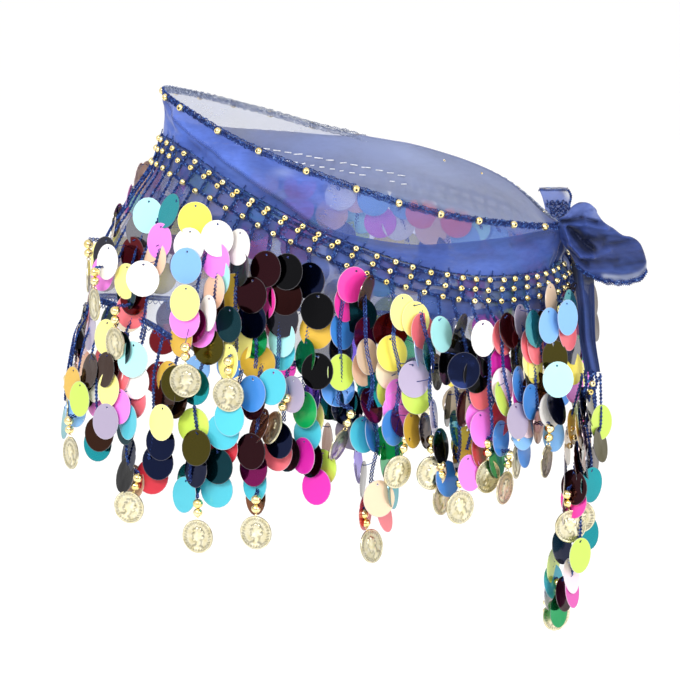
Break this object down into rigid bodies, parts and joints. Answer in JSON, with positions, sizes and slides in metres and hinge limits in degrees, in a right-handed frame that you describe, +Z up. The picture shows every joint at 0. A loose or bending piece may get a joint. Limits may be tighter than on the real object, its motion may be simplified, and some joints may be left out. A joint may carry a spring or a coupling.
{
  "type": "belly dance hip scarf",
  "caption": "Chiffon hip wrap worn aslant and knotted on one hip, with a crocheted bead net and two tiers of hanging disc and coin strands; open hollow for the hips.",
  "frame": {"origin": "on the hips' upright axis, half way down the band at the front, where the wearer's hips hold the scarf", "axes": "+Z up the body; the wearer faces -Y; +X is the wearer's left, the side of the knot"},
  "size_m": [0.4142, 0.279, 0.3736],
  "materials": {
    "chiffon": "sheer royal blue chiffon",
    "yarn": "dark blue crochet yarn",
    "paillettes": "mixed coloured metallic film discs",
    "gold": "light gold plated beads and coins"
  },
  "bodies": {
    "root": {"scarf_front": "chiffon", "scarf_back": "chiffon", "knot": "chiffon", "tie_flap": "chiffon", "tie_tip": "chiffon", "tie_tail": "chiffon", "rim_edging_front": "yarn", "rim_edging_back": "yarn", "net_front": "yarn", "net_back": "yarn", "fringe_net_front": "paillettes", "fringe_net_back": "paillettes", "fringe_hem_front": "paillettes", "fringe_hem_back": "paillettes", "fringe_tail": "paillettes"}
  },
  "joints": []
}
